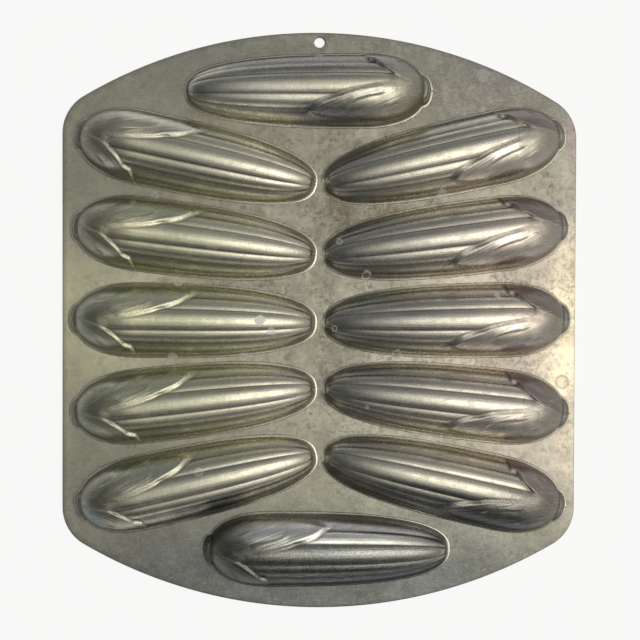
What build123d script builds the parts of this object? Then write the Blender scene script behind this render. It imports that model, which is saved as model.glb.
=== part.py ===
from build123d import *
import math
import os

# Corn stick pan: a flat deck with twelve ear shaped moulds standing out of its underside.
# It lies face down, as a pan is laid to show its underside: the deck's baking face is at z = 0,
# the moulds rise towards +Z, and the hanging hole is at the +Y end.
# The origin is the middle of the deck's baking face. Sizes are in millimetres and degrees.

# One ear mould, outside sizes. Its own frame has x from the tip to the stem and z out of the deck.
ear_length = 145.0
ear_width = 43.6
ear_height = 19.0
shoulder_length = 39.0
wall = 3.0

# The plan outline is a superellipse on each side of the widest station.
tip_outline_power = 2.6
stem_outline_power = 2.35

# Five kernel rows, each a bulging arc between two creases.
skirt_crease_shares = (0.71, 0.61)
crown_crease_shares = (0.31, 0.90)
skirt_row_crown = 1.6
side_row_crown = 1.5
top_row_crown = 1.9

# Stations of the lofts, as even angles round a half circle from tip to stem end, which crowds them
# towards both ends. The tip and the stem end are small flats.
body_angles = (4, 15, 26, 37, 48, 59, 70, 81, 92, 103, 114, 125, 136, 147, 158, 168, 175)
husk_angles = (70, 81, 92, 103, 114, 125, 136, 147, 158, 168, 175)

# Husk leaves lie on the rows at the stem end. Each leaf's edge is a chain of lobes, and each lobe
# an arc through three points, in shares of the ear's length and half width.
long_leaf_thickness = 1.2
short_leaf_thickness = 0.8
husk_side_step = 0.3
long_leaf_lobe_shares = (
    ((0.455, -0.93), (0.492, -0.70), (0.552, -0.46)),
    ((0.552, -0.46), (0.605, -0.33), (0.672, -0.18)),
    ((0.672, -0.18), (0.770, -0.045), (0.885, 0.15)),
)
short_leaf_lobe_shares = (
    ((0.738, 0.97), (0.748, 0.82), (0.778, 0.695)),
    ((0.778, 0.695), (0.822, 0.43), (0.885, 0.15)),
)
leaf_seam_end_share = -0.15
leaf_overhang = 6.0

# Folds in the leaves: shallow grooves, each a crescent between two arcs from end to end.
long_leaf_fold_shares = (((0.672, -0.56), (0.800, -0.30)), ((0.825, -0.62), (0.895, -0.44)))
short_leaf_fold_shares = (((0.856, 0.75), (0.912, 0.53)),)
fold_bow = 1.5
fold_width = 0.9
fold_depth = 0.5

# The stem is the cut stalk: an oval rim at the foot of the ear and a smaller oval step on it.
stem_length = 4.6
stem_reach = 5.6
stem_width = 19.6
stem_step = 1.4
stem_rim_height = 5.0
stem_height = 6.6
stem_rounding = 0.9

# Deck.
deck_thickness = 3.0
side_margin = 3.8
end_margin = 13.7
end_arc_rise = 46.3
corner_radius = 26.0
deck_rounding = 0.8

# The casting is a little out of square: one corner is cut lower, and the side below it leans in.
corner_drop = 4.0
side_lean = 1.8

# Hanging hole.
hang_hole_diameter = 6.4
hang_hole_edge = 2.7

# Layout: two facing fans of five ears, and one ear across each end.
tip_gap = 4.8
web_width = 8.4
fan_angles = (12.1, 7.1, 1.0, -6.0, -12.4)
end_ear_nest = 17.5
top_ear_shift = 6.5
bottom_ear_shift = 3.2

# How far cutting tools run past what they cut.
overrun = 1.0

half_ear_width = ear_width / 2
widest_station = ear_length - shoulder_length
fan_rows = len(fan_angles)
row_pitch = ear_width + web_width
end_ear_y = (fan_rows + 1) / 2 * row_pitch - end_ear_nest
ear_reach = ear_length + stem_length
deck_width = tip_gap + 2 * (ear_reach + side_margin)
deck_length = 2 * (end_ear_y + half_ear_width + end_margin)


def outline_point(angle, inset):
    """Station and width scale of the plan outline at an angle, for a body that is inset all round."""
    half_length = ear_length / 2 - inset
    station = ear_length / 2 - half_length * math.cos(math.radians(angle))
    towards_tip = station < widest_station
    quarter_length = (widest_station if towards_tip else shoulder_length) - inset
    power = tip_outline_power if towards_tip else stem_outline_power
    distance_share = abs(station - widest_station) / quarter_length
    return station, (1 - distance_share ** power) ** (1 / power)


def bulge(start, end, crown):
    """An arc from start to end that stands out by crown at its middle, away from the ear's axis."""
    chord = end - start
    outward = Vector(0, chord.Z, -chord.Y).normalized()
    return ThreePointArc(start, (start + end) / 2 + outward * crown, end)


def rows_section(station, scale, inset):
    """The half round section with five kernel rows and a flat foot."""
    half_width = (half_ear_width - inset) * scale
    height = (ear_height - inset) * scale
    crown_scale = half_width / half_ear_width

    def corner(shares, side):
        return Vector(station, side * shares[0] * half_width, shares[1] * height)

    foot = (1, 0)
    corners = [
        corner(foot, -1),
        corner(skirt_crease_shares, -1),
        corner(crown_crease_shares, -1),
        corner(crown_crease_shares, 1),
        corner(skirt_crease_shares, 1),
        corner(foot, 1),
    ]
    crowns = (skirt_row_crown, side_row_crown, top_row_crown, side_row_crown, skirt_row_crown)
    rows = [
        bulge(end, start, crown * crown_scale)
        for start, end, crown in zip(corners, corners[1:], crowns)
    ]
    return Wire([*rows, Line(corners[-1], corners[0])])


def rows_body(inset):
    """The ear with its kernel rows. An inset one is the hollow inside."""
    stations = [outline_point(angle, inset) for angle in body_angles]
    return Solid.make_loft([rows_section(x, scale, inset) for x, scale in stations])


def husk_section(station, scale, thickness):
    """A plain half round section, a leaf's thickness outside the rows."""
    half_width = (half_ear_width + husk_side_step) * scale
    height = (ear_height + thickness) * scale
    foot = Vector(station, half_width, 0)
    other_foot = Vector(station, -half_width, 0)
    plane = Plane(origin=(station, 0, 0), x_dir=(0, 1, 0), z_dir=(1, 0, 0))
    arch = plane * EllipticalCenterArc((0, 0), half_width, height, start_angle=0, arc_size=180)
    return Wire([arch, Line(other_foot, foot)])


def husk_dome(thickness):
    """The smooth stem half of the ear that the leaves are cut from."""
    stations = [outline_point(angle, -husk_side_step) for angle in husk_angles]
    return Solid.make_loft([husk_section(x, scale, thickness) for x, scale in stations])


def on_ear(share_point):
    """A point of the plan, from shares of the ear's length and half width."""
    return Vector(share_point[0] * ear_length, share_point[1] * half_ear_width)


def fold_groove(ends, thickness):
    """The groove of one fold, from over the leaf down to the fold's depth."""
    start, end = (on_ear(point) for point in ends)
    middle = (start + end) / 2
    along = (end - start).normalized()
    inward = Vector(-along.Y, along.X)
    crescent = Wire([
        ThreePointArc(start, middle + inward * fold_bow, end),
        ThreePointArc(end, middle + inward * (fold_bow - fold_width), start),
    ])
    column = extrude(Face(crescent), ear_height + thickness + overrun, dir=(0, 0, 1))
    return column - husk_dome(thickness - fold_depth)


def leaf(lobe_shares, fold_shares, side, thickness):
    """One husk leaf: the dome, kept on one side of the leaf's lobed edge, with its folds."""
    lobes = [[on_ear(point) for point in lobe] for lobe in lobe_shares]
    first, last = lobes[0][0], lobes[-1][-1]
    outer_y = side * (half_ear_width + leaf_overhang)
    far_x = ear_length + leaf_overhang
    seam_end = (far_x, leaf_seam_end_share * half_ear_width)
    outline = [
        Line((first.X, outer_y), first),
        *[ThreePointArc(*lobe) for lobe in lobes],
        Line(last, seam_end),
        Line(seam_end, (far_x, outer_y)),
        Line((far_x, outer_y), (first.X, outer_y)),
    ]
    height = ear_height + thickness + overrun
    body = husk_dome(thickness) & extrude(Face(Wire(outline)), height, dir=(0, 0, 1))
    return body - [fold_groove(ends, thickness) for ends in fold_shares]


def stem_disc(inset, height):
    """An oval disc round the stem's middle, rounded off at the top."""
    oval = Ellipse(stem_reach - inset, stem_width / 2 - inset)
    disc = Pos(ear_reach - stem_reach, 0, 0) * extrude(oval, height, dir=(0, 0, 1))
    return fillet(disc.edges().sort_by(Axis.Z)[-1:], stem_rounding)


def stem():
    """The cut stalk at the ear's end."""
    return stem_disc(0, stem_rim_height) + stem_disc(stem_step, stem_height)


def ear_mould():
    """One mould, standing on z = 0, and the outline of its mouth."""
    outside = rows_body(0)
    outside += leaf(long_leaf_lobe_shares, long_leaf_fold_shares, -1, long_leaf_thickness)
    outside += leaf(short_leaf_lobe_shares, short_leaf_fold_shares, 1, short_leaf_thickness)
    outside += stem()
    hollow = rows_body(wall)
    mouth = hollow.faces().sort_by(Axis.Z)[0]
    return outside - hollow, mouth


def fan_ear_place(row, side):
    """Where an ear of a fan lies. Its tip is at the pan's middle line, and its stem at the side."""
    angle = fan_angles[row]
    middle_y = ((fan_rows - 1) / 2 - row) * row_pitch
    tip_x = side * tip_gap / 2
    tip_y = middle_y - widest_station * math.sin(math.radians(angle))
    turn = angle if side > 0 else 180 - angle
    return Pos(tip_x, tip_y, deck_thickness) * Rot(0, 0, turn)


def ear_places():
    """Every ear's name and place."""
    places = {
        "ear_mould_top": Pos(-ear_reach / 2 - top_ear_shift, end_ear_y, deck_thickness),
        "ear_mould_bottom": Pos(ear_reach / 2 + bottom_ear_shift, -end_ear_y, deck_thickness)
        * Rot(0, 0, 180),
    }
    for row in range(fan_rows):
        places[f"ear_mould_left_{row + 1}"] = fan_ear_place(row, -1)
        places[f"ear_mould_right_{row + 1}"] = fan_ear_place(row, 1)
    return places


def deck(places, mouth):
    """The flat plate with its bowed ends, the hanging hole and a mouth under every mould."""
    half_width = deck_width / 2
    half_length = deck_length / 2
    corner_y = half_length - end_arc_rise
    top_right = (half_width, corner_y - corner_drop)
    top_left = (-half_width, corner_y)
    bottom_left = (-half_width, -corner_y)
    bottom_right = (half_width - side_lean, -corner_y)
    outline = Wire([
        ThreePointArc(top_right, (0, half_length), top_left),
        Line(top_left, bottom_left),
        ThreePointArc(bottom_left, (0, -half_length), bottom_right),
        Line(bottom_right, top_right),
    ])
    sheet = fillet(Face(outline).vertices(), corner_radius)
    plate = extrude(sheet, deck_thickness, dir=(0, 0, 1))
    plate = fillet(plate.edges().group_by(Axis.Z)[-1], deck_rounding)
    hole_y = half_length - hang_hole_edge - hang_hole_diameter / 2
    hole = Cylinder(hang_hole_diameter / 2, deck_thickness + 2 * overrun)
    plate -= Pos(0, hole_y, deck_thickness / 2) * hole
    depth = deck_thickness + 2 * overrun
    cutter = Pos(0, 0, overrun) * extrude(mouth, depth, dir=(0, 0, -1))
    return plate - [place * cutter for place in places.values()]


def main():
    os.makedirs("parts", exist_ok=True)
    places = ear_places()
    mould, mouth = ear_mould()
    export_step(deck(places, mouth), "parts/deck_plate.step")
    for name, place in places.items():
        export_step(place * mould, f"parts/{name}.step")


main()
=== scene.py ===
import math
import bmesh
import bpy
import numpy as np
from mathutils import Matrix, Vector, geometry


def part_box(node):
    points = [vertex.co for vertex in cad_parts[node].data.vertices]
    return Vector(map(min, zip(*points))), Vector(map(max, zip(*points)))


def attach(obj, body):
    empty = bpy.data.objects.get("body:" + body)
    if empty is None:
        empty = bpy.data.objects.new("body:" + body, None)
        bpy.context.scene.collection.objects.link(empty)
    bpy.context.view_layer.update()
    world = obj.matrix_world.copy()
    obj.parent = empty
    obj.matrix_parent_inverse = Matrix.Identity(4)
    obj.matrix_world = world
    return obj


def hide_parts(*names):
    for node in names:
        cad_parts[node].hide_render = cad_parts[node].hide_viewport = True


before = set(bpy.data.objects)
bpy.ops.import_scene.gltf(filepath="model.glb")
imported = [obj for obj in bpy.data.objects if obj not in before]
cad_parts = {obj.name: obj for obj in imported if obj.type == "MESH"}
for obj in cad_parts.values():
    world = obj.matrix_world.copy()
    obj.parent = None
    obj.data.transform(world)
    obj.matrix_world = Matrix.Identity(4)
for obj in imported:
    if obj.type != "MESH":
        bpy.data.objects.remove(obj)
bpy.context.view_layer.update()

mm = 0.001
deckLow, deckHigh = (np.array(corner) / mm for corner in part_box("deck_plate"))
deckTop = deckHigh[2]
print("frame loaded")

# Ear mould: one pattern in mm, lying along x with its tip near 0 and its foot at height 0
ear = {
    "length": 145.0,
    "halfWidth": 21.8,           # shares of the husk's points are of this and of the length
    "tip": 0.8,
    "widest": 106.0,
    "bodyHalfWidth": 21.3,
    "height": 19.4,
    "tipPower": 2.6,
    "stemPower": 2.35,
    "footFillet": 1.6,
    "footSink": 0.05,            # how far the foot runs into the deck
    "wall": 3.0,
    "seat": 1.4,                 # collar round the mouth, down through the deck
    "lipRound": 0.8,
    "lipCuts": 5,
    "footFilletHighlight": 0.5,          # share of the fillet over which its painted highlight grows
    "roundRadius": 20.5,         # mean radius of the half round, for distances on it
    "hollowRelief": 0.8,         # share of the husk's relief that shows in the hollow
    "alongCuts": 318,
    "stemCloser": (9.0, 2.0),    # within this of the end, the cuts are so much closer
    "tipCloser": (0.2, 4.0),
    "footCrowding": 1.5,
    "rowCuts": (32, 20, 26, 20, 32),
    "hollowRowCuts": (12, 10, 14, 10, 12),
}
# Kernel rows, degrees round the section and mm
rows = {
    "innerCrease": 18.0,
    "outerCrease": 44.0,
    "innerDepth": 1.15,
    "outerDepth": 1.6,
    "creasePower": 2.2,
    "leftFade": 0.9,
    "rightFade": 1.5,
    "kernelPitch": 5.8,
    "kernelDepth": 0.75,
    "kernelRound": 0.55,
    "kernelEdge": 3.0,
    "kernelFoot": (86.0, 70.0),  # degrees over which the kernels grow up from the foot
    "kernelTip": (5.0, 12.0),    # and mm over which they grow from the tip
}
# Husk leaves: edges as shares of the length and of the half width
husk = {
    "longEdge": (
        (0.440, -0.95), (0.455, -0.90), (0.470, -0.80), (0.495, -0.70), (0.515, -0.62), (0.537, -0.52),
        (0.560, -0.435), (0.600, -0.345), (0.640, -0.26), (0.670, -0.185), (0.720, -0.105),
        (0.770, -0.045), (0.810, 0.0), (0.850, 0.08), (0.885, 0.15), (0.930, 0.04), (0.988, -0.10),
    ),
    "shortEdge": (
        (0.738, 0.97), (0.748, 0.82), (0.755, 0.75), (0.778, 0.695), (0.800, 0.55), (0.822, 0.43),
        (0.850, 0.29), (0.875, 0.19), (0.930, 0.07), (0.988, -0.07),
    ),
    "longRise": 0.44,
    "shortRise": 0.32,
    "seamRise": 0.14,           # how far the short leaf stands over the long one
    "longRun": (3.2, 2.3, 5.0),  # width of the long leaf's step at its start, middle and end
    "longRunAt": (0.52, 0.66, 0.80, 0.88),
    "skirtRun": 16.0,            # added to it low on the wall, where the leaf has no edge
    "skirtAngle": 62.0,
    "skirtFade": (0.6, 0.8),     # fades are shares of the length
    "leavesMeet": (0.835, 0.895),
    "stepFade": (0.78, 0.87),
    "seamFade": (0.82, 0.875),
    "seamGrow": (0.76, 0.82),
    "seamSink": (0.86, 0.96),
    "shortRun": 1.0,
    "lipRise": 0.06,
    "lipRun": 2.2,
    "grooveDepth": 0.1,
    "grooveOffset": 0.35,
    "longGroove": 0.55,
    "shortGroove": 0.5,
    "foldSharpness": 0.4,
    "foldReach": 2.4,
    "foldEnds": (5.0, 6.0),
    "foldLead": 0.5,
    "foldGroove": (0.5, 0.8),    # width of the dirt and painted shade in mm, and strength
    "foldBright": (0.5, 0.5, 0.7),  # how far up the step the scouring and painted highlight lies, width and strength
    "longBright": (0.75, 0.5),   # the same along the leaves' edges, in shares of the step
    "shortBright": (0.9, 0.6),
    "footReach": 3.0,            # how far outside the edge its valley is looked for
    "tipGrow": 2.2,
    "edgeShine": 0.12,
    "footFade": (90.0, 66.0),
}
# Folds in the leaves: points as shares, and the step across each in mm
huskFolds = (
    (((0.661, -0.58), (0.700, -0.44), (0.750, -0.35), (0.800, -0.29), (0.830, -0.23)), 0.62),
    (((0.813, -0.64), (0.860, -0.51), (0.895, -0.44)), 0.62),
    (((0.852, 0.762), (0.879, 0.658), (0.910, 0.53)), 0.5),
)
# Cut stalk: two oval discs on each other, joined to the end of the husk
stem = {
    "centre": 143.4,
    "starCentre": 139.5,
    "reach": 4.9,
    "halfWidth": 8.6,
    "rimHeight": 4.9,
    "step": 1.5,
    "topHeight": 6.6,
    "power": 5,
    "softness": 0.35,            # where the discs meet the husk
    # dirt with painted shade where the discs meet the husk
    "meetDirtAndPaintedShade": 0.9,
    "meetWidth": 0.5,
    "joins": (16.0, 10.0),       # mm before the husk's end between which the discs take over
    "farthest": 40.0,
    "halvings": 30,
}
# Layout of the ears on the deck, in mm and degrees
layout = {
    "fanAngles": (12.1, 7.1, 1.0, -6.0, -12.4),
    "tipGap": 4.8,
    "rowPitch": 52.0,
    "endEarY": 138.5,
    "topEarTipX": -81.3,
    "bottomEarTipX": 78.0,
}


def smoothStep(low, high, value):
    share = np.clip((value - low) / (high - low), 0, 1)
    return share * share * (3 - 2 * share)


def hump(value, width):
    return np.exp(-(value / width) ** 2)


def curveThrough(points, steps=12):
    # Catmull-Rom
    points = np.array(points, float)
    padded = np.vstack([2 * points[0] - points[1], points, 2 * points[-1] - points[-2]])
    out = []
    for a, b, c, d in zip(padded, padded[1:], padded[2:], padded[3:]):
        for t in np.linspace(0, 1, steps, endpoint=False):
            cubic = 3 * b - a - 3 * c + d
            square = 2 * a - 5 * b + 4 * c - d
            out.append(0.5 * (2 * b + (c - a) * t + square * t * t + cubic * t ** 3))
    out.append(points[-1])
    return np.array(out)


def outlineScale(x):
    quarter = np.where(x < ear["widest"], ear["widest"] - ear["tip"], ear["length"] - ear["widest"])
    power = np.where(x < ear["widest"], ear["tipPower"], ear["stemPower"])
    share = np.clip(np.abs(x - ear["widest"]) / quarter, 0, 1)
    return (1 - share ** power) ** (1 / power)


# Stations at even steps along the plan outline, closer at both ends: distance from the tip, and scale
def outlineStations(count, inset=0.0):
    phase = np.linspace(0, math.pi / 2, 3000)
    tipReach = ear["widest"] - ear["tip"] - inset
    stemReach = ear["length"] - ear["widest"] - inset
    x = np.concatenate([
        ear["widest"] - tipReach * np.cos(phase) ** (2 / ear["tipPower"]),
        ear["widest"] + stemReach * np.sin(phase[1:]) ** (2 / ear["stemPower"]),
    ])
    scale = np.concatenate([
        np.sin(phase) ** (2 / ear["tipPower"]),
        np.cos(phase[1:]) ** (2 / ear["stemPower"]),
    ])
    scale[-1] = 0
    stemEnd, stemCuts = ear["stemCloser"]
    tipEnd, tipCuts = ear["tipCloser"]
    closer = np.where(x[1:] > ear["length"] - stemEnd, stemCuts, 1.0)
    closer[x[1:] < ear["tip"] + inset + tipEnd] = tipCuts
    run = np.hypot(np.diff(x), np.diff(scale) * (ear["bodyHalfWidth"] - inset)) * closer
    run = np.concatenate([[0], np.cumsum(run)])
    at = np.linspace(0, run[-1], count)
    return np.interp(at, run, x), np.interp(at, run, scale)


def sectionAngles(cuts):
    marks = (-90, -rows["outerCrease"], -rows["innerCrease"], rows["innerCrease"], rows["outerCrease"], 90)
    shares = [np.linspace(0, 1, n, endpoint=False) for n in cuts]
    shares[0] = shares[0] ** ear["footCrowding"]       # closer at the foot
    shares[-1] = 1 - (1 - shares[-1]) ** ear["footCrowding"]
    spans = [a + (b - a) * share for a, b, share in zip(marks, marks[1:], shares)]
    return np.radians(np.concatenate([*spans, [90]]))


# A curve on the ear, in distance from the tip and angle round the section
def curveOnEar(points):
    curve = curveThrough(points)
    x = curve[:, 0] * ear["length"]
    halfWidth = np.maximum(outlineScale(x), 0.03) * ear["bodyHalfWidth"]
    return x, np.arcsin(np.clip(curve[:, 1] * ear["halfWidth"] / halfWidth, -0.999, 0.999))


# Least distance to such a curve, and 1 at larger angles or -1 at smaller ones
def distanceFrom(x, angle, roundLength, curveX, curveAngle):
    best = np.full(x.shape, 1e9)
    for cx, ca in zip(curveX, curveAngle):
        best = np.minimum(best, (x - cx) ** 2 + (roundLength * (angle - ca)) ** 2)
    return np.sqrt(best), np.sign(angle - np.interp(x, curveX, curveAngle))


# Height of the husk over the plain half round, and masks for bare rows, grooves and raised edges
def huskRelief(x, angle, reach):
    roundLength = ear["roundRadius"] * reach
    longX, longAngle = curveOnEar(husk["longEdge"])
    shortX, shortAngle = curveOnEar(husk["shortEdge"])
    longGap, longSide = distanceFrom(x, angle, roundLength, longX, longAngle)
    shortGap, shortSide = distanceFrom(x, angle, roundLength, shortX, shortAngle)
    longIn = np.where((longSide < 0) & (x > longX[0]), longGap, -longGap)
    shortIn = np.where((shortSide > 0) & (x > shortX[0]), shortGap, -shortGap)

    share = x / ear["length"]
    wide, narrow, last = husk["longRun"]
    longRun = np.interp(share, husk["longRunAt"], (wide, narrow, narrow, last))
    onSkirt = smoothStep(math.radians(rows["outerCrease"] + 1), math.radians(husk["skirtAngle"]), -angle)
    longRun = longRun + onSkirt * husk["skirtRun"] * (1 - smoothStep(*husk["skirtFade"], share))
    longMask = np.maximum(smoothStep(0, 1, longIn / longRun), smoothStep(*husk["leavesMeet"], share))
    shortMask = smoothStep(0, 1, shortIn / husk["shortRun"])
    lip = np.exp(-np.maximum(longIn - longRun, 0) / husk["lipRun"])
    shortLip = np.exp(-np.maximum(shortIn - husk["shortRun"], 0) / husk["lipRun"])
    stepFade = 1 - smoothStep(*husk["stepFade"], share)
    longLeaf = husk["longRise"] + husk["lipRise"] * lip * stepFade * (1 - onSkirt)
    seam = husk["longRise"] + husk["seamRise"] - husk["shortRise"]
    seamFade = 1 - smoothStep(*husk["seamFade"], share)
    seam = seam * smoothStep(*husk["seamGrow"], share)
    seam = seam - husk["seamRise"] * smoothStep(*husk["seamSink"], share)
    shortLeaf = husk["shortRise"] + seam + husk["lipRise"] * shortLip * seamFade
    relief = longLeaf * longMask
    relief = relief * (1 - shortMask) + shortLeaf * shortMask
    leaf = np.maximum(longMask, shortMask)

    # Valley along the foot of each step
    offset = husk["grooveOffset"]
    longFoot = hump(longIn + offset, husk["longGroove"]) * stepFade * (1 - onSkirt)
    longFoot = longFoot * (longIn > -husk["footReach"])
    shortFoot = hump(shortIn + offset, husk["shortGroove"]) * seamFade
    foot = np.clip(longFoot + shortFoot, 0, 1)
    relief = relief - husk["grooveDepth"] * foot
    groove = foot.copy()
    at, width = husk["longBright"]
    bright = hump(longIn / longRun - at, width) * stepFade * (1 - onSkirt) * (longIn > 0)
    at, width = husk["shortBright"]
    bright = np.clip(bright + hump(shortIn / husk["shortRun"] - at, width) * seamFade, 0, 1)

    startRun, endRun = husk["foldEnds"]
    lead = husk["foldLead"]
    grooveWidth, grooveStrength = husk["foldGroove"]
    at, width, strength = husk["foldBright"]
    for points, step in huskFolds:
        foldX, foldAngle = curveOnEar(points)
        gap, side = distanceFrom(x, angle, roundLength, foldX, foldAngle)
        ends = smoothStep(foldX[0] - lead, foldX[0] + startRun, x)
        ends = ends * (1 - smoothStep(foldX[-1] - endRun, foldX[-1] + lead, x))
        profile = side * (1 - np.exp(-gap / husk["foldSharpness"])) * np.exp(-gap / husk["foldReach"])
        relief = relief + step * profile * ends * leaf
        groove = np.maximum(groove, hump(gap * side + offset, grooveWidth) * ends * grooveStrength)
        bright = np.maximum(bright, hump(gap * side - at, width) * ends * strength)

    footFade = smoothStep(*np.radians(husk["footFade"]), np.abs(angle))
    relief = relief * footFade * np.minimum(reach * husk["tipGrow"], 1)
    return relief, 1 - leaf, groove * footFade, bright * footFade, shortMask


# How far each ray from the star centre goes before it leaves an oval disc with a rounded rim
def discReach(direction, inset, height):
    low = np.zeros(direction.shape[:-1])
    high = np.full(direction.shape[:-1], stem["farthest"])
    for _ in range(stem["halvings"]):
        middle = (low + high) / 2
        point = direction * middle[..., None]
        across = ((point[..., 0] + stem["starCentre"] - stem["centre"]) / (stem["reach"] - inset)) ** 2
        across = across + (point[..., 1] / (stem["halfWidth"] - inset)) ** 2
        inside = across ** (stem["power"] / 2) + np.abs(point[..., 2] / height) ** stem["power"] < 1
        low = np.where(inside, middle, low)
        high = np.where(inside, high, middle)
    return low


def addStem(points):
    centre = np.array((stem["starCentre"], 0, 0))
    ray = points - centre
    length = np.linalg.norm(ray, axis=-1)
    direction = ray / np.maximum(length, 1e-9)[..., None]
    rim = discReach(direction, 0, stem["rimHeight"])
    top = discReach(direction, stem["step"], stem["topHeight"])
    start, stop = (ear["length"] - reach for reach in stem["joins"])
    nearStem = points[..., 0] > start
    disc = np.where(nearStem, np.maximum(rim, top), 0)
    blend = stem["softness"]
    both = np.maximum(length, disc) + blend * np.exp(-np.abs(length - disc) / blend) * (disc > 1)
    grown = centre + direction * np.where(nearStem, both, length)[..., None]
    share = smoothStep(start, stop, points[..., 0])[..., None]
    meet = hump(length - disc, stem["meetWidth"]) * (disc > 1)
    return points * (1 - share) + grown * share, meet


def gridFaces(rowCount, columnCount, start):
    index = np.arange(rowCount * columnCount).reshape(rowCount, columnCount) + start
    quads = np.stack([index[:-1, :-1], index[:-1, 1:], index[1:, 1:], index[1:, :-1]], -1)
    return quads.reshape(-1, 4)


# Move an outline, given tip to stem along one side, out by a distance in plan
def planOffset(x, y, distance):
    dx = np.gradient(x)
    dy = np.gradient(y)
    length = np.maximum(np.hypot(dx, dy), 1e-9)
    side = 1 if np.mean(y) > 0 else -1
    nx, ny = -dy / length * side, dx / length * side
    nx[0], ny[0] = -1, 0
    nx[-1], ny[-1] = 1, 0
    return x + nx * distance, y + ny * distance


# Push low points out along the surface's level normal, so that the foot runs into the deck
def filletFoot(points):
    along = np.gradient(points, axis=0)
    around = np.gradient(points, axis=1)
    level = np.cross(along, around)[..., :2]
    level = level / np.maximum(np.linalg.norm(level, axis=-1, keepdims=True), 1e-6)
    level[0] = (-1, 0)
    level[-1] = (1, 0)
    if np.sum(level[1:-1, :, 1] * points[1:-1, :, 1]) < 0:
        level[1:-1] *= -1
    fillet = ear["footFillet"]
    low = np.clip((fillet - points[..., 2]) / fillet, 0, 1)
    out = fillet * (1 - np.sqrt(np.clip(1 - low ** 2, 0, 1)))
    points[..., :2] += level * out[..., None]
    points[..., 2] -= ear["footSink"] * (low >= 0.999)
    return low


markNames = ("rowAngle", "reach", "bare", "facing", "along", "groove", "bright", "shortLeaf")


# Vertices, faces and point masks of one mould, without its kernel rows
def earPattern():
    count = ear["alongCuts"]
    x, reach = outlineStations(count)
    angle = sectionAngles(ear["rowCuts"])
    gridX, gridAngle = np.meshgrid(x, angle, indexing="ij")
    gridReach = np.repeat(reach[:, None], len(angle), 1)
    relief, bare, groove, bright, shortLeaf = huskRelief(gridX, gridAngle, gridReach)
    y = (ear["bodyHalfWidth"] * gridReach + relief) * np.sin(gridAngle)
    z = (ear["height"] * gridReach + relief) * np.cos(gridAngle)
    z[:, (0, -1)] = 0
    y[(0, -1), :] = 0
    z[(0, -1), :] = 0
    points, meet = addStem(np.stack([gridX, y, z], -1))
    low = filletFoot(points)
    # Grooves and the stalk's meeting line hold dirt with painted shade
    groove = np.maximum(groove, stem["meetDirtAndPaintedShade"] * meet)
    # Painted highlight on the foot fillet, and scouring with a painted highlight along the raised edges
    bright = np.maximum(bright * husk["edgeShine"], smoothStep(0.0, ear["footFilletHighlight"], low))
    marks = (np.degrees(gridAngle), gridReach, bare, -np.ones_like(gridX), gridX, groove, bright, shortLeaf)
    vertices = [points.reshape(-1, 3)]
    faces = [gridFaces(count, len(angle), 0)]
    masks = [np.stack([mark.ravel() for mark in marks], -1)]
    total = count * len(angle)

    # Hollow: a wall's thickness inside, and down through the deck to a rounded lip
    wall = ear["wall"]
    innerX, innerScale = outlineStations(count, wall)
    innerAngle = sectionAngles(ear["hollowRowCuts"])
    hollowX, hollowAngle = np.meshgrid(innerX, innerAngle, indexing="ij")
    hollowReach = np.repeat(innerScale[:, None], len(innerAngle), 1)
    relief, bare, _, _, _ = huskRelief(hollowX, hollowAngle, hollowReach)
    relief = relief * ear["hollowRelief"]
    hollowY = ((ear["bodyHalfWidth"] - wall) * hollowReach + relief) * np.sin(hollowAngle)
    hollowZ = ((ear["height"] - wall) * hollowReach + relief) * np.cos(hollowAngle)
    hollowZ[:, (0, -1)] = 0
    hollow = np.stack([hollowX, hollowY, hollowZ], -1)
    vertices.append(hollow.reshape(-1, 3))
    faces.append(gridFaces(count, len(innerAngle), total)[:, ::-1])
    none = np.zeros_like(hollowX)
    marks = (np.degrees(hollowAngle), hollowReach, bare, none + 1, hollowX, none, none, none)
    masks.append(np.stack([mark.ravel() for mark in marks], -1))
    total += count * len(innerAngle)

    # Collar between the outer foot and the hollow's edge, on both sides
    for side, column in ((-1, 0), (1, -1)):
        innerLoop = hollow[:, column].copy()
        seatX, seatY = planOffset(innerLoop[:, 0], innerLoop[:, 1] + side * 1e-6, ear["seat"])
        loops = [points[:, column].copy()]
        for depth in (-ear["footSink"], -deckTop):
            loops.append(np.stack([seatX, seatY, np.full(count, depth)], -1))
        for turn in np.linspace(0, math.pi / 2, ear["lipCuts"]):
            out = ear["lipRound"] * (1 - math.sin(turn))
            lipX, lipY = planOffset(innerLoop[:, 0], innerLoop[:, 1] + side * 1e-6, out)
            level = -deckTop + ear["lipRound"] * (1 - math.cos(turn))
            loops.append(np.stack([lipX, lipY, np.full(count, level)], -1))
        loops.append(innerLoop)
        strip = np.stack(loops, 1)
        strip[0, 1:-1, 1] = 0
        strip[-1, 1:-1, 1] = 0
        vertices.append(strip.reshape(-1, 3))
        quads = gridFaces(count, len(loops), total)
        faces.append(quads if side > 0 else quads[:, ::-1])
        masks.append(np.zeros((count * len(loops), len(markNames))))
        total += count * len(loops)
    return np.concatenate(vertices), np.concatenate(faces), np.concatenate(masks)


def meshFrom(name, vertices, faces):
    mesh = bpy.data.meshes.new(name)
    mesh.vertices.add(len(vertices))
    mesh.vertices.foreach_set("co", np.asarray(vertices, np.float32).ravel())
    corners = np.concatenate([np.asarray(face, np.int32) for face in faces])
    sizes = np.array([len(face) for face in faces], np.int32)
    mesh.loops.add(len(corners))
    mesh.loops.foreach_set("vertex_index", corners)
    mesh.polygons.add(len(sizes))
    mesh.polygons.foreach_set("loop_start", np.concatenate([[0], np.cumsum(sizes)[:-1]]).astype(np.int32))
    mesh.polygons.foreach_set("use_smooth", np.ones(len(sizes), bool))
    mesh.update(calc_edges=True)
    mesh.validate()
    return mesh


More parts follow.
